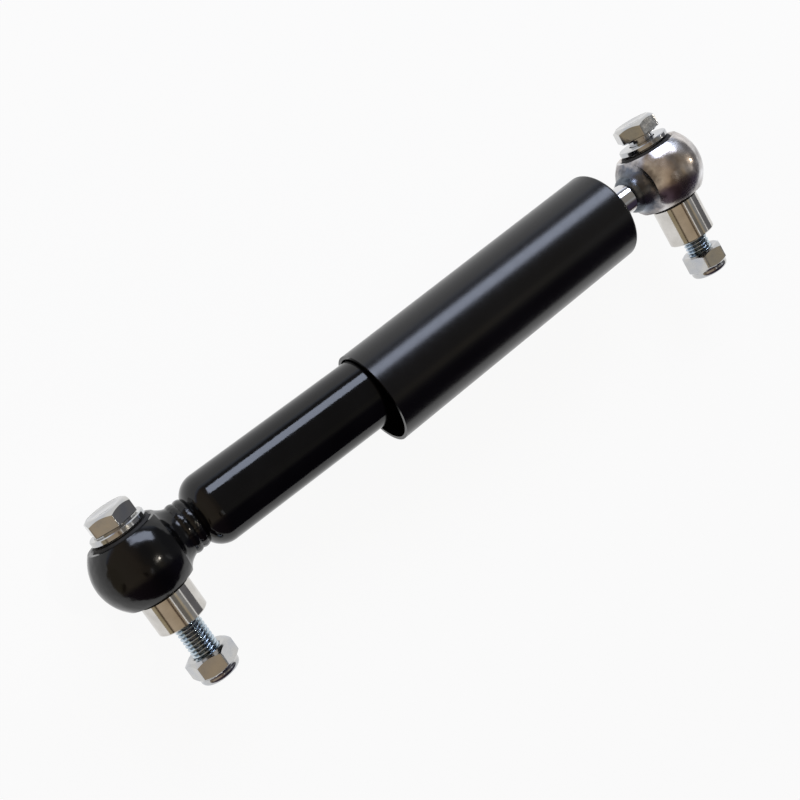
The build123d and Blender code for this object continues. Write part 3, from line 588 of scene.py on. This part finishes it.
# The room in reflections: a ceiling that changes along X, dim towards -Y, with lit and dark beams
# across a strip of it, and a bright sky low at +Y. Places run from 0 at -1 to 1 at +1 of the
# direction's X or Y. The sky's height stops are at the direction's Z itself.
CEILING_STOPS = [
    (0.0, (0.36, 0.30, 0.21)),
    (0.10, (0.46, 0.38, 0.28)),
    (0.36, (0.40, 0.31, 0.22)),
    (0.50, (0.24, 0.19, 0.14)),
    (0.58, (0.15, 0.14, 0.13)),
    (0.66, (0.15, 0.14, 0.13)),
    (0.74, (0.22, 0.20, 0.17)),
    (0.88, (0.22, 0.22, 0.22)),
    (0.92, (0.15, 0.15, 0.16)),
    (1.0, (0.15, 0.15, 0.16)),
]
BEAM_STOPS = [
    (0.0, (0.37, 0.31, 0.21)),
    (0.035, (0.39, 0.33, 0.22)),
    (0.045, (0.08, 0.055, 0.035)),
    (0.06, (0.08, 0.055, 0.035)),
    (0.07, (0.48, 0.39, 0.29)),
    (0.36, (0.43, 0.34, 0.24)),
    (0.395, (0.07, 0.045, 0.03)),
    (0.425, (0.07, 0.045, 0.03)),
    (0.44, (0.30, 0.24, 0.17)),
    (0.485, (0.30, 0.24, 0.17)),
    (0.495, (1.0, 1.0, 1.0)),
    (0.52, (1.0, 1.0, 1.0)),
    (0.53, (0.17, 0.16, 0.15)),
    (0.66, (0.17, 0.16, 0.14)),
    (0.69, (0.40, 0.34, 0.25)),
    (0.72, (0.40, 0.34, 0.25)),
    (0.76, (0.27, 0.27, 0.27)),
    (0.85, (0.27, 0.27, 0.27)),
    (0.86, (1.0, 1.0, 1.0)),
    (0.875, (1.0, 1.0, 1.0)),
    (0.885, (0.15, 0.15, 0.16)),
    (1.0, (0.15, 0.15, 0.16)),
]
BEAM_STRIP_STOPS = [(0.29, (0, 0, 0)), (0.31, (1, 1, 1)), (0.40, (1, 1, 1)), (0.42, (0, 0, 0))]
DIM_SIDE_STOPS = [
    (0.0, (0.15, 0.13, 0.25)),
    (0.22, (0.20, 0.17, 0.30)),
    (0.32, (1, 1, 1)),
    (1.0, (1, 1, 1)),
]
SKY_STOPS = [
    (0.0, (0, 0, 0)),
    (0.72, (0, 0, 0)),
    (0.80, (0.62, 0.68, 0.84)),
    (1.0, (0.80, 0.86, 1.0)),
]
SKY_HEIGHT_STOPS = [(0.0, (1, 1, 1)), (0.06, (1, 1, 1)), (0.20, (0, 0, 0)), (1.0, (0, 0, 0))]

# The lamps
WINDOW_PLACE = (0.68, 1.17, 0.76)
WINDOW_TARGET = (0.15, 0, 0)
WINDOW_WIDTH = 1.3
WINDOW_HEIGHT = 0.54
WINDOW_WATTS = 17
WINDOW_COLOUR = (0.72, 0.80, 1.0)
SPARK_PLACES = {"lower": (0.385, -0.086, 0.81), "upper": (1.052, -0.083, 0.50)}
SPARK_WATTS = {"lower": 3.8, "upper": 1.2}
SPARK_COLOUR = (1.0, 0.93, 0.82)
SPARK_RADIUS = 0.014
SPARK_ANGLE = math.radians(8)
SPARK_BLEND = 0.6


def floor():
    """The pale floor. It shows as nearly white, far off as all white, and keeps the object's shadow."""
    corners = [(-1, -1), (1, -1), (1, 1), (-1, 1)]
    vertices = [(x * FLOOR_HALF, y * FLOOR_HALF, FLOOR_Z) for x, y in corners]
    ground = mesh_piece("floor", vertices, [(0, 1, 2, 3)])
    material = bpy.data.materials.new("pale_floor")
    material.use_nodes = True
    tree = material.node_tree
    tree.nodes.clear()
    output = tree.nodes.new("ShaderNodeOutputMaterial")
    path = tree.nodes.new("ShaderNodeLightPath")
    diffuse = tree.nodes.new("ShaderNodeBsdfDiffuse")
    diffuse.inputs["Color"].default_value = FLOOR_COLOUR
    white = tree.nodes.new("ShaderNodeEmission")
    white.inputs["Strength"].default_value = 1.0
    seen = tree.nodes.new("ShaderNodeMath")
    seen.operation = "MAXIMUM"
    either = tree.nodes.new("ShaderNodeMath")
    either.operation = "MAXIMUM"
    share = tree.nodes.new("ShaderNodeMath")
    share.operation = "MULTIPLY"
    place = tree.nodes.new("ShaderNodeTexCoord")
    distance = tree.nodes.new("ShaderNodeVectorMath")
    distance.operation = "LENGTH"
    tree.links.new(place.outputs["Object"], distance.inputs[0])
    far = distance.outputs["Value"]
    fade = map_range(tree, far, FLOOR_WHITE_SHARE, 1.0, FLOOR_FADE_START, FLOOR_FADE_END)
    tree.links.new(fade, share.inputs[1])
    mix = tree.nodes.new("ShaderNodeMixShader")
    tree.links.new(path.outputs["Is Camera Ray"], either.inputs[0])
    tree.links.new(path.outputs["Is Glossy Ray"], either.inputs[1])
    tree.links.new(either.outputs["Value"], seen.inputs[0])
    tree.links.new(path.outputs["Is Transmission Ray"], seen.inputs[1])
    tree.links.new(seen.outputs["Value"], share.inputs[0])
    tree.links.new(share.outputs["Value"], mix.inputs["Fac"])
    tree.links.new(diffuse.outputs["BSDF"], mix.inputs[1])
    tree.links.new(white.outputs["Emission"], mix.inputs[2])
    tree.links.new(mix.outputs["Shader"], output.inputs["Surface"])
    ground.data.materials.append(material)


def room():
    """White to the camera. In reflections and as light, a dim warm ceiling and a bright low sky."""
    world = bpy.data.worlds.new("studio")
    bpy.context.scene.world = world
    world.use_nodes = True
    tree = world.node_tree
    background = tree.nodes["Background"]
    place = tree.nodes.new("ShaderNodeTexCoord")
    split = tree.nodes.new("ShaderNodeSeparateXYZ")
    tree.links.new(place.outputs["Generated"], split.inputs["Vector"])
    across = map_range(tree, split.outputs["X"], 0, 1, -1, 1)
    along = map_range(tree, split.outputs["Y"], 0, 1, -1, 1)
    ceiling = ramp_node(tree, across, CEILING_STOPS)
    plain = mix_node(tree, "MULTIPLY", ceiling, ramp_node(tree, along, DIM_SIDE_STOPS))
    beams = tree.nodes.new("ShaderNodeMixRGB")
    tree.links.new(ramp_node(tree, along, BEAM_STRIP_STOPS), beams.inputs["Fac"])
    tree.links.new(plain, beams.inputs["Color1"])
    tree.links.new(ramp_node(tree, across, BEAM_STOPS), beams.inputs["Color2"])
    low_down = ramp_node(tree, split.outputs["Z"], SKY_HEIGHT_STOPS)
    sky = mix_node(tree, "MULTIPLY", ramp_node(tree, along, SKY_STOPS), low_down)
    lit = mix_node(tree, "LIGHTEN", beams.outputs["Color"], sky)
    path = tree.nodes.new("ShaderNodeLightPath")
    mix = tree.nodes.new("ShaderNodeMixRGB")
    tree.links.new(path.outputs["Is Camera Ray"], mix.inputs["Fac"])
    tree.links.new(lit, mix.inputs["Color1"])
    mix.inputs["Color2"].default_value = (1, 1, 1, 1)
    tree.links.new(mix.outputs["Color"], background.inputs["Color"])


def aim_lamp(light, place, target):
    """Puts a lamp at a place, facing a point."""
    lamp = bpy.data.objects.new(light.name, light)
    bpy.context.scene.collection.objects.link(lamp)
    aim = Vector(target) - Vector(place)
    lamp.location = place
    lamp.rotation_euler = aim.to_track_quat("-Z", "Y").to_euler()


def window_lamp():
    """A wide cool soft box on the side of the bolts' heads."""
    light = bpy.data.lights.new("window", "AREA")
    light.shape = "RECTANGLE"
    light.size = WINDOW_WIDTH
    light.size_y = WINDOW_HEIGHT
    light.energy = WINDOW_WATTS
    light.color = WINDOW_COLOUR
    aim_lamp(light, WINDOW_PLACE, WINDOW_TARGET)


def spark_lamp(end):
    """A small warm spot that only reaches one end of the damper, for the point of light on its eye."""
    light = bpy.data.lights.new(end + "_spark", "SPOT")
    light.energy = SPARK_WATTS[end]
    light.color = SPARK_COLOUR
    light.shadow_soft_size = SPARK_RADIUS
    light.spot_size = SPARK_ANGLE
    light.spot_blend = SPARK_BLEND
    aim_lamp(light, SPARK_PLACES[end], (EYE_X[end], 0, 0))


floor()
room()
window_lamp()
spark_lamp("lower")
spark_lamp("upper")


# The camera, with its axes as directions in the CAD frame
FOCAL_PIXELS = 1168.05
FRAME_PIXELS = 800
SENSOR_MM = 36.0
CAMERA_PLACE = Vector((-39.41, 110.38, 459.45)) * MM
CAMERA_RIGHT = Vector((0.75145, -0.51697, 0.40994))
CAMERA_DOWN = Vector((-0.57084, -0.82099, 0.01104))
CAMERA_AHEAD = Vector((0.33085, -0.2423, -0.91204))


def photo_camera():
    """The camera at the photograph's viewing angle."""
    data = bpy.data.cameras.new("camera")
    data.sensor_width = SENSOR_MM
    data.lens = FOCAL_PIXELS / FRAME_PIXELS * SENSOR_MM
    data.clip_start = 0.01
    data.clip_end = 50
    camera = bpy.data.objects.new("camera", data)
    bpy.context.scene.collection.objects.link(camera)
    axes = Matrix((CAMERA_RIGHT, -CAMERA_DOWN, -CAMERA_AHEAD)).transposed()
    camera.matrix_world = Matrix.Translation(CAMERA_PLACE) @ axes.to_4x4()
    bpy.context.scene.camera = camera


photo_camera()
bpy.context.scene.view_settings.view_transform = "Standard"
bpy.context.view_layer.update()
